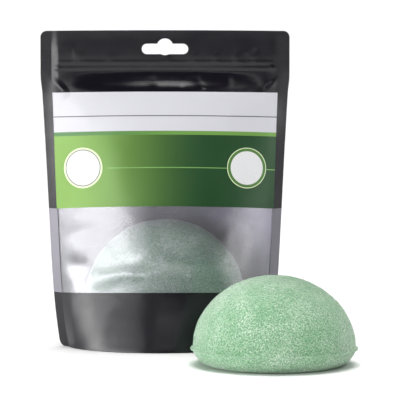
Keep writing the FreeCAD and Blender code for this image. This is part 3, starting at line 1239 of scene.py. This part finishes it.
@dataclass
class PouchBody:
    """The pouch below the mouth's fold: printed films, window, back, gusset and welded side strips."""

    form: PouchForm
    finishes: Finishes
    film: float = 0.2
    window_film: float = 0.1
    window_inset: float = 0.15
    band: float = 27.5
    window_top: float = 70.0
    window_lap: float = 4.0
    fold: float = 134.1
    step: float = 0.8
    gusset_rise: float = 14.5
    gusset_gap: float = 0.3
    gusset_trim: float = 0.5
    gusset_half: float = 49.0
    gusset_tall: float = 48.0
    gusset_rows: int = 21
    halvings: int = 40
    seal_corner: float = 3.2
    seal_thickness: float = 0.4
    seal_rows: float = 2.5
    seal_lap: float = 0.5
    seal_corner_steps: int = 8
    seal_splits: tuple[float, ...] = (0.25, 0.5, 0.75)
    seal_columns: int = 7

    def build(self) -> list[Piece]:
        """Build and dress every piece of the body.

        Returns:
            The pieces.
        """
        return [*self.front(), self.back(), self.gusset(), *(self.seal(half) for half in Half)]

    def web_cage(self, side: Side) -> Cage:
        """Make the cage of one web.

        Args:
            side: The web.

        Returns:
            The cage, from the foot to the top.
        """
        half = self.form.film_width / 2

        def bowed(x: float, z: float) -> Vector:
            """Return where a point of the flat web goes."""
            return self.form.web_point(side, x, z)

        return Cage(self.form, bowed, -half, half, 0.0, self.form.height)

    def front(self) -> list[Piece]:
        """Build the two printed front films and the clear window between them.

        Returns:
            The lower film, the upper film and the window.
        """
        half = self.form.film_width / 2
        lower = flat_sheet(self.form, Side.FRONT, (-half, half), (0.0, self.band), self.step)
        upper = flat_sheet(self.form, Side.FRONT, (-half, half), (self.window_top, self.fold), self.step)
        rows = (self.band - self.window_lap, self.window_top + self.window_lap)
        window = flat_sheet(self.form, Side.FRONT, (-half, half), rows, self.step, -self.window_inset)
        for piece, relief in ((lower, FRONT_RELIEF), (upper, FRONT_RELIEF), (window, WINDOW_RELIEF)):
            emboss(piece, self.form, Side.FRONT, relief)
        bow((lower, upper, window), self.web_cage(Side.FRONT))
        for piece, name in ((lower, "front_lower_film"), (upper, "front_upper_film")):
            thicken(piece, self.film)
            line_inside(piece, Side.FRONT)
            self.place(piece, name, "black_film", self.finishes.black, self.finishes.foil)
        thicken(window, self.window_film)
        self.place(window, "window_film", "clear_film", self.finishes.clear)
        return [lower, upper, window]

    def back(self) -> Piece:
        """Build the back film up to the fold.

        Returns:
            The film.
        """
        half = self.form.film_width / 2
        sheet = flat_sheet(self.form, Side.BACK, (-half, half), (0.0, self.fold), self.step)
        emboss(sheet, self.form, Side.BACK, BACK_RELIEF)
        bow((sheet,), self.web_cage(Side.BACK))
        thicken(sheet, self.film)
        line_inside(sheet, Side.BACK)
        return self.place(sheet, "back_film", "black_film", self.finishes.black, self.finishes.foil)

    def gusset_point(self, across: float, through: float) -> Vector:
        """Return a point of the arched gusset.

        Args:
            across: Place across the pouch as a share of the half chord, from -1 to 1.
            through: Place from front to back as a share of the arch there, from -1 to 1.

        Returns:
            The point in millimetres.
        """
        foot = self.form.levels[0]
        x = across * (self.form.half_chord(foot.bow) - self.gusset_trim)
        reach = foot.bow - self.gusset_gap
        low, high = 0.0, reach
        for _ in range(self.halvings):
            depth = (low + high) / 2
            height = self.gusset_rise * (1 - (depth / reach) ** 2)
            level = self.form.at(height)
            half = self.form.half_chord(level.bow)
            radius = (half**2 + level.bow**2) / (2 * level.bow)
            room = level.bow - self.gusset_gap - radius + math.sqrt(max(radius**2 - x**2, 0.0))
            low, high = (depth, high) if depth < room else (low, depth)
        y = low * through
        height = self.gusset_rise * (1 - (y / reach) ** 2)
        return Vector((self.form.centre_x + x, self.form.centre_y + y, height))

    def gusset(self) -> Piece:
        """Build the arched film that closes the foot.

        Returns:
            The film.
        """
        half, tall = self.gusset_half, self.gusset_tall

        def arch(x: float, z: float) -> Vector:
            """Return where a point of the flat film goes; one outside the film goes to its edge."""
            across, through = x / half, 2 * z / tall - 1
            return self.gusset_point(min(max(across, -1), 1), min(max(through, -1), 1))

        sheet = flat_sheet(self.form, Side.FRONT, (-half, half), (0.0, tall), self.step)
        bow((sheet,), Cage(self.form, arch, -half, half, 0.0, tall, rows=self.gusset_rows))
        finish_with(sheet, Mod.SOLIDIFY, thickness=self.film * MM, offset=0.0)
        return self.place(sheet, "bottom_gusset", "black_film", self.finishes.black)

    def seal(self, half: Half) -> Piece:
        """Build one welded side strip, with its outer corners rounded.

        Args:
            half: The side it is on.

        Returns:
            The strip.
        """
        start, end = self.form.seal_start - self.seal_lap, self.form.seal_end
        span = sorted((half.value * start, half.value * end))
        strip = flat_sheet(
            self.form,
            Side.FRONT,
            tuple(span),
            (0.0, self.form.height),
            self.form.height,
            self.seal_thickness / 2,
        )
        edge = (self.form.centre_x + half.value * end) * MM
        with editing(strip):
            pick(strip, lambda v: abs(v.co.x - edge) < TOUCH, "VERT")
            bpy.ops.mesh.bevel(
                offset=self.seal_corner * MM, segments=self.seal_corner_steps, affect="VERTICES"
            )
            bpy.ops.mesh.select_all(action="SELECT")
            bpy.ops.mesh.extrude_region_move(
                TRANSFORM_OT_translate={"value": (0.0, self.seal_thickness * MM, 0.0)}
            )
            rows = [row * self.seal_rows for row in range(1, int(self.form.height / self.seal_rows))]
            for height in (*rows, self.band, self.window_top):
                slice_all((0.0, 0.0, height * MM), (0.0, 0.0, 1.0))
            for share in self.seal_splits:
                x = (self.form.centre_x + half.value * (start + share * (end - start))) * MM
                slice_all((x, 0.0, 0.0), (1.0, 0.0, 0.0))
            bpy.ops.mesh.select_all(action="SELECT")
            bpy.ops.mesh.normals_make_consistent(inside=False)

        def leaning(x: float, z: float) -> Vector:
            """Return where a point of the flat strip goes."""
            return self.form.seal_point(half, abs(x), z)

        bow((strip,), Cage(self.form, leaning, *span, 0.0, self.form.height, columns=self.seal_columns))
        for face in strip.data.polygons:
            face.material_index = int(
                self.band < face.center.z / MM < self.window_top and face.normal.y < 0
            )
        name = f"{half.name.lower()}_side_seal"
        return self.place(strip, name, "black_film", self.finishes.black, self.finishes.weld)

    def place(self, piece: Piece, name: str, slot: str, *materials: Material) -> Piece:
        """Finish a piece, ride it on the pouch and let it stand for its CAD node.

        Args:
            piece: The piece in its place.
            name: The CAD node it stands for.
            slot: The record's material slot.
            materials: Its materials.

        Returns:
            The piece.
        """
        settle(piece, f"{name}_skin")
        dress(piece, slot, *materials)
        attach(piece, "pouch")
        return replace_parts(piece, name)


@dataclass
class MouthLips:
    """The mouth above the fold: two lips with the hang slot, and the press-to-close zip between them."""

    form: PouchForm
    body: PouchBody
    finishes: Finishes
    film: float = 0.2
    step: float = 0.7
    slot_length: float = 23.4
    slot_height: float = 5.3
    slot_centre: float = 150.2
    bump_radius: float = 4.2
    bump_rise: float = 2.6
    track_half: float = 54.5
    track_low: float = 139.5
    track_high: float = 145.0
    track_outside: float = 0.775
    flange: float = 0.3
    reach: float = 0.8
    track_step: float = 1.0
    edge_round: float = 0.08
    edge_angle: float = 50.0
    rib: tuple[tuple[float, float], ...] = ((-0.5, 0.5),)
    rails: tuple[tuple[float, float], ...] = ((-1.5, -0.7), (0.7, 1.5))
    punch_sides: int = 64
    punch_depth: float = 8.0

    def build(self) -> list[Piece]:
        """Build both lips and both zip tracks, each as a left and a right half.

        Returns:
            The pieces.
        """
        pieces = []
        for side in Side:
            pieces += self.lip(side)
            pieces += self.track(side)
        return pieces

    def slot_tool(self) -> Piece:
        """Make the punch for the hang slot: a long round-ended bar with a bump on top.

        Returns:
            The punch, which the caller removes.
        """
        reach = (self.slot_length - self.slot_height) / 2
        round_end = self.slot_height / 2
        crown = self.slot_centre + round_end + self.bump_rise - self.bump_radius
        rounds = (
            (-reach, self.slot_centre, round_end),
            (reach, self.slot_centre, round_end),
            (0.0, crown, self.bump_radius),
        )
        parts = []
        for x, z, radius in rounds:
            deselect()
            place = Vector((self.form.centre_x + x, self.form.centre_y, z)) * MM
            bpy.ops.mesh.primitive_cylinder_add(
                vertices=self.punch_sides,
                radius=radius * MM,
                depth=self.punch_depth * MM,
                location=place,
                rotation=(math.pi / 2, 0.0, 0.0),
            )
            parts.append(bpy.context.object)
        place = Vector((self.form.centre_x, self.form.centre_y, self.slot_centre)) * MM
        bpy.ops.mesh.primitive_cube_add(size=1.0, location=place)
        bar = bpy.context.object
        bar.scale = Vector((2 * reach, self.punch_depth, self.slot_height)) * MM
        for part in (bar, *parts):
            activate(part)
            bpy.ops.object.transform_apply(location=True, rotation=True, scale=True)
        for part in parts:
            finish_with(bar, Mod.BOOLEAN, operation="UNION", object=part, solver="EXACT")
            bpy.data.objects.remove(part)
        return bar

    def lip(self, side: Side) -> list[Piece]:
        """Build one lip of the mouth in two halves.

        Args:
            side: The lip.

        Returns:
            The left and the right half.
        """
        half = self.form.film_width / 2
        sheet = flat_sheet(self.form, side, (-half, half), (self.body.fold, self.form.height), self.step)
        emboss(sheet, self.form, side, FRONT_RELIEF if side is Side.FRONT else BACK_RELIEF)
        thicken(sheet, self.film)
        punch = self.slot_tool()
        finish_with(sheet, Mod.BOOLEAN, operation="DIFFERENCE", object=punch, solver="EXACT")
        bpy.data.objects.remove(punch)
        bow((sheet,), self.body.web_cage(side))
        line_inside(sheet, side)
        return self.halves(
            sheet,
            side,
            f"{side.name.lower()}_lip_film",
            "black_film",
            self.finishes.black,
            self.finishes.foil,
        )

    def track(self, side: Side) -> list[Piece]:
        """Build one zip track in two halves: a flange with a rib in front, or with two rails behind.

        Args:
            side: The lip it is welded to.

        Returns:
            The left and the right half.
        """
        inner = self.track_outside - self.flange
        rows = (self.track_low, self.track_high)
        middle = sum(rows) / 2
        bands = self.rib if side is Side.FRONT else self.rails
        sheet = flat_sheet(
            self.form, side, (-self.track_half, self.track_half), rows, self.track_step, inner
        )
        with editing(sheet):
            for edge in (z for band in bands for z in band):
                slice_all((0.0, 0.0, (middle + edge) * MM), (0.0, 0.0, 1.0))
        finish_with(sheet, Mod.SOLIDIFY, thickness=self.flange * MM, offset=1.0)
        with editing(sheet):
            for low, high in bands:
                pick(
                    sheet,
                    lambda f: f.normal.y * side.value < -FACING and low < f.center.z / MM - middle < high,
                )
                bpy.ops.mesh.extrude_region_move(
                    TRANSFORM_OT_translate={"value": (0.0, -side.value * self.reach * MM, 0.0)}
                )
        finish_with(
            sheet,
            Mod.BEVEL,
            width=self.edge_round * MM,
            segments=2,
            limit_method="ANGLE",
            angle_limit=math.radians(self.edge_angle),
        )
        name = "zip_front_track" if side is Side.FRONT else "zip_rear_track"
        return self.halves(sheet, side, name, "zip_strip", self.finishes.zip)

    def halves(self, piece: Piece, side: Side, node: str, slot: str, *materials: Material) -> list[Piece]:
        """Cut a piece at the pouch's middle into a left and a right half.

        Args:
            piece: The whole piece in its place.
            side: The lip it belongs to.
            node: The CAD node it stands for.
            slot: The record's material slot.
            materials: Its materials.

        Returns:
            The left and the right half.
        """
        made = []
        for half in Half:
            activate(piece)
            bpy.ops.object.duplicate()
            part = bpy.context.object
            with editing(part):
                bpy.ops.mesh.bisect(
                    plane_co=(self.form.centre_x * MM, 0.0, 0.0),
                    plane_no=(-half.value, 0.0, 0.0),
                    use_fill=True,
                    clear_outer=True,
                )
            settle(part, f"{node}_{half.name.lower()}")
            dress(part, slot, *materials)
            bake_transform(part)
            made.append(part)
        bpy.data.objects.remove(piece)
        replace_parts(made[0], node)
        return made


@dataclass
class FrontLabel:
    """The printed label on the front film, and its two round stickers."""

    form: PouchForm
    body: PouchBody
    finishes: Finishes
    low: float = 70.0
    high: float = 128.5
    lift: float = 0.25
    thickness: float = 0.1
    badge_lift: float = 0.4
    badge_radius: float = 10.3
    badge_height: float = 90.0
    badge_across: float = 41.8
    badge_sides: int = 96
    left_rings: tuple[float, ...] = (9.35, 8.9, 0.0)
    right_rings: tuple[float, ...] = (9.9, 8.5, 0.0)
    inner_shares: tuple[float, ...] = (0.85, 0.7, 0.55, 0.4, 0.25, 0.1)

    def build(self) -> list[Piece]:
        """Build and dress the label and the stickers.

        Returns:
            The pieces.
        """
        half = self.form.film_width / 2
        label = flat_sheet(
            self.form, Side.FRONT, (-half, half), (self.low, self.high), self.body.step, self.lift
        )
        inks = self.finishes
        rings = {
            Half.LEFT: tuple(zip(self.left_rings, (inks.pale_ink, inks.dark_ink, inks.white_ink))),
            Half.RIGHT: tuple(zip(self.right_rings, (inks.pale_ink, inks.olive_ink, inks.white_ink))),
        }
        stickers = {half: self.disc(half, [inner for inner, _ in rows]) for half, rows in rings.items()}
        for piece in (label, *stickers.values()):
            emboss(piece, self.form, Side.FRONT, FRONT_RELIEF)
        bow((label, *stickers.values()), self.body.web_cage(Side.FRONT))
        thicken(label, self.thickness)
        self.body.place(label, "front_label", "label", self.finishes.label)
        for half, sticker in stickers.items():
            thicken(sticker, self.thickness)
            self.body.place(
                sticker, f"{half.name.lower()}_badge", "badge", *(material for _, material in rings[half])
            )
        return [label, *stickers.values()]

    def disc(self, half: Half, inner: Sequence[float]) -> Piece:
        """Cut a flat round sticker in rings; each ring has a material of its own.

        Args:
            half: Which of the two it is.
            inner: Inner radius of each ring from the outside in; the last is the middle.

        Returns:
            The flat disc.
        """
        across = half.value * self.badge_across
        place = Vector(
            (self.form.centre_x + across, self.form.centre_y - self.badge_lift, self.badge_height)
        ) * MM
        deselect()
        bpy.ops.mesh.primitive_circle_add(
            vertices=self.badge_sides,
            radius=self.badge_radius * MM,
            fill_type="NGON",
            location=place,
            rotation=(math.pi / 2, 0.0, 0.0),
        )
        disc = bpy.context.object
        bpy.ops.object.transform_apply(location=True, rotation=True, scale=True)
        for _ in inner:
            disc.data.materials.append(None)
        edges = [*inner[:-1], *(inner[-2] * share for share in self.inner_shares)]
        with editing(disc):
            bpy.ops.mesh.select_mode(type="FACE")
            radius = self.badge_radius
            for index, edge in enumerate(edges):
                bpy.ops.mesh.inset(
                    thickness=(radius - edge) * MM * math.cos(math.pi / self.badge_sides), depth=0.0
                )
                disc.active_material_index = min(index + 1, len(inner) - 1)
                bpy.ops.object.material_slot_assign()
                radius = edge
        return disc


@dataclass
class KonjacSponge:
    """A half-ball konjac sponge: a dome, a thin lip where the mould parted and an underside that draws in."""

    finishes: Finishes
    node: str
    centre: tuple[float, float, float]
    half_width: float
    half_depth: float
    dome: float
    underside: float
    base_share: float
    lip: float
    lip_height: float
    voxel: float
    roll: float = 0.0
    taper: float = 1.0
    edge_rings: int = 8
    segments: int = 128
    ball_rings: int = 64
    skin: tuple[tuple[Grain, float, float], ...] = (
        (Grain.SOFT, 11.0, 0.5),
        (Grain.CELLS, 1.25, 0.35),
        (Grain.SOFT, 0.7, 0.35),
    )

    def build(self) -> list[Piece]:
        """Build, roughen and dress the sponge.

        Returns:
            Its one piece.
        """
        deselect()
        bpy.ops.mesh.primitive_uv_sphere_add(segments=self.segments, ring_count=self.ball_rings, radius=1.0)
        ball = bpy.context.object
        ball.name = f"{self.node}_foam"
        with editing(ball):
            bpy.ops.mesh.bisect(plane_co=(0, 0, 0), plane_no=(0, 0, 1), clear_inner=True)
            bpy.ops.mesh.select_all(action="SELECT")
            bpy.ops.transform.resize(
                value=(self.half_width * MM, self.half_width * MM, self.dome * MM),
                center_override=(0, 0, 0),
            )
            pick(ball, lambda v: v.co.z < TOUCH, "VERT")
            self.ring(1 + self.lip / self.half_width, 0.0)
            self.ring(1.0, -self.lip_height)
            self.ring(1 / (1 + self.lip / self.half_width), 0.0)
            self.underside_rings()
            bpy.ops.mesh.edge_face_add()
            bpy.ops.mesh.select_all(action="SELECT")
            bpy.ops.transform.resize(
                value=(1.0, self.half_depth / self.half_width, 1.0), center_override=(0, 0, 0)
            )
            bpy.ops.transform.rotate(
                value=-math.radians(self.roll), orient_axis="Y", center_override=(0, 0, 0)
            )
            bpy.ops.transform.translate(value=Vector(self.centre) * MM)
            bpy.ops.mesh.normals_make_consistent(inside=False)
        finish_with(ball, Mod.REMESH, mode="VOXEL", voxel_size=self.voxel * MM)
        finish_with(ball, Mod.SMOOTH, factor=0.5, iterations=1)
        for grain, size, strength in self.skin:
            roughen(ball, grain, size, strength)
        settle(ball, f"{self.node}_foam", angle=180.0)
        dress(ball, "sponge", self.finishes.konjac)
        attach(ball, self.node)
        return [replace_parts(ball, self.node)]

    def ring(self, scale: float, drop: float) -> None:
        """Extrude the open edge loop, scale it about the upright axis and move it along that axis."""
        bpy.ops.mesh.extrude_edges_move(TRANSFORM_OT_translate={"value": (0.0, 0.0, drop * MM)})
        bpy.ops.transform.resize(value=(scale, scale, 1.0), center_override=(0, 0, 0))

    def underside_rings(self) -> None:
        """Draw the edge in from the lip to the flat base: round at a taper of 1, straight at 2."""
        last_radius, last_drop = 1.0, 0.0
        for step in range(1, self.edge_rings + 1):
            turn = math.pi / 2 * step / self.edge_rings
            radius = self.base_share + (1 - self.base_share) * math.cos(turn) ** self.taper
            drop = math.sin(turn) ** self.taper * self.underside
            self.ring(radius / last_radius, -(drop - last_drop))
            last_radius, last_drop = radius, drop


@dataclass(frozen=True)
class Lamp:
    """A soft panel that hangs round the pouch and faces it.

    The azimuth counts in degrees to the right of the line to the camera, the elevation above the pouch's
    middle; the size is width and height; the radiance is its face's brightness, where lit white paper is
    about one.
    """

    name: str
    azimuth: float
    elevation: float
    size: tuple[float, float]
    radiance: float


LAMPS = (
    Lamp("low_left_panel", -39.2, 1.85, (883.0, 235.0), 7.0),
    Lamp("left_panel", -75.0, 2.8, (760.0, 275.0), 9.5),
    Lamp("left_rim_strip", -101.0, 4.0, (260.0, 320.0), 12.0),
    Lamp("raised_left_panel", -37.5, 14.0, (1077.0, 180.0), 2.5),
    Lamp("low_right_panel", 52.5, 0.6, (342.0, 175.0), 3.6),
    Lamp("window_card", 7.0, 15.8, (600.0, 100.0), 2.4),
    Lamp("header_card", -7.0, 4.0, (290.0, 150.0), 0.7),
    Lamp("right_fill_box", 38.0, 36.0, (600.0, 450.0), 3.0),
)


@dataclass
class Studio:
    """Floor, lamps, surroundings and camera, set up as the photograph was."""

    finishes: Finishes
    focus: tuple[float, float, float] = (-54.0, 45.0, 75.0)
    eye: tuple[float, float, float] = (-26.34, -1535.0, 211.8)
    tilt_degrees: float = 4.91
    turn_degrees: float = 0.361
    focal_pixels: float = 3187.4
    sensor_mm: float = 36.0
    floor_side: float = 40000.0
    floor_drop: float = 0.2
    lamp_distance: float = 1300.0
    near_clip: float = 10.0
    far_clip: float = 100000.0

    def build(self) -> None:
        """Set up the whole studio."""
        deselect()
        bpy.ops.mesh.primitive_plane_add(
            size=self.floor_side * MM, location=(0.0, 0.0, -self.floor_drop * MM)
        )
        floor = bpy.context.object
        floor.name = "studio_floor"
        bpy.ops.object.transform_apply(location=True)
        floor.data.materials.append(self.finishes.paper)
        for lamp in LAMPS:
            self.hang(lamp)
        self.surroundings()
        self.camera()
        bpy.context.scene.view_settings.view_transform = "Standard"

    def hang(self, lamp: Lamp) -> None:
        """Hang one lamp in its place.

        Args:
            lamp: The lamp.
        """
        turn, rise = math.radians(lamp.azimuth), math.radians(lamp.elevation)
        way = Vector((math.sin(turn) * math.cos(rise), -math.cos(turn) * math.cos(rise), math.sin(rise)))
        deselect()
        bpy.ops.object.light_add(type="AREA", location=(Vector(self.focus) + way * self.lamp_distance) * MM)
        panel = bpy.context.object
        panel.name = lamp.name
        panel.rotation_euler = way.to_track_quat("Z", "Y").to_euler()
        panel.data.shape = "RECTANGLE"
        panel.data.size, panel.data.size_y = lamp.size[0] * MM, lamp.size[1] * MM
        panel.data.energy = lamp.radiance * math.pi * panel.data.size * panel.data.size_y
        panel.visible_camera = False

    def surroundings(self) -> None:
        """Light the surroundings: a bright ceiling, grey behind the set and dark on the camera's side."""
        world = bpy.data.worlds.new("studio_room")
        bpy.context.scene.world = world
        world.use_nodes = True
        tree = world.node_tree
        tree.nodes.clear()
        place = add_node(tree, "TexCoord")
        parts = add_node(tree, "SeparateXYZ", {0: place.outputs["Generated"]})
        behind = add_node(
            tree,
            "MapRange",
            {"Value": parts.outputs["Y"], "From Min": 0.0, "From Max": 0.6, "To Min": 0.03, "To Max": 0.6},
            interpolation_type="SMOOTHSTEP",
        )
        ceiling = add_node(
            tree,
            "MapRange",
            {"Value": parts.outputs["Z"], "From Min": 0.86, "From Max": 0.98, "To Max": 8.7},
            interpolation_type="SMOOTHSTEP",
        )
        overhead = add_node(
            tree,
            "MapRange",
            {"Value": parts.outputs["Y"], "From Min": -0.42, "From Max": -0.2},
            interpolation_type="SMOOTHSTEP",
        )
        light = add_node(
            tree,
            "Math",
            {0: overhead.outputs[0], 1: ceiling.outputs[0], 2: behind.outputs[0]},
            operation="MULTIPLY_ADD",
        )
        sky = add_node(tree, "Background", {"Strength": light.outputs[0]})
        add_node(tree, "OutputWorld", {"Surface": sky.outputs["Background"]})

    def camera(self) -> None:
        """Put the camera where the photograph was taken from."""
        deselect()
        turn = (math.radians(90 - self.tilt_degrees), 0.0, math.radians(self.turn_degrees))
        bpy.ops.object.camera_add(location=Vector(self.eye) * MM, rotation=turn)
        camera = bpy.context.object
        camera.data.sensor_width = self.sensor_mm
        camera.data.lens = self.focal_pixels * self.sensor_mm / PHOTO_SIDE
        camera.data.clip_start, camera.data.clip_end = self.near_clip * MM, self.far_clip * MM
        bpy.context.scene.camera = camera


def main() -> None:
    """Build the set piece by piece."""
    logging.basicConfig(level=logging.INFO, format="%(name)s: %(message)s")
    finishes = Finishes()
    form = PouchForm()
    body = PouchBody(form, finishes)
    lips = MouthLips(form, body, finishes)
    label = FrontLabel(form, body, finishes)
    loose = KonjacSponge(
        finishes,
        "loose_sponge",
        centre=(0.0, 0.0, 8.3),
        half_width=39.5,
        half_depth=39.5,
        dome=34.9,
        underside=7.4,
        base_share=0.83,
        lip=1.3,
        lip_height=0.7,
        voxel=0.42,
        taper=1.33,
    )
    packed = KonjacSponge(
        finishes,
        "packed_sponge",
        centre=(-54.0, 65.0, 24.5),
        half_width=40.2,
        half_depth=18.1,
        dome=40.2,
        underside=6.8,
        base_share=0.85,
        lip=0.0,
        lip_height=0.3,
        voxel=0.42,
        roll=4.0,
    )
    for assembly in (body, lips, label, loose, packed):
        for piece in assembly.build():
            LOG.info("%s: %d faces", piece.name, len(piece.data.polygons))
    Studio(finishes).build()


if __name__ == "__main__":
    main()
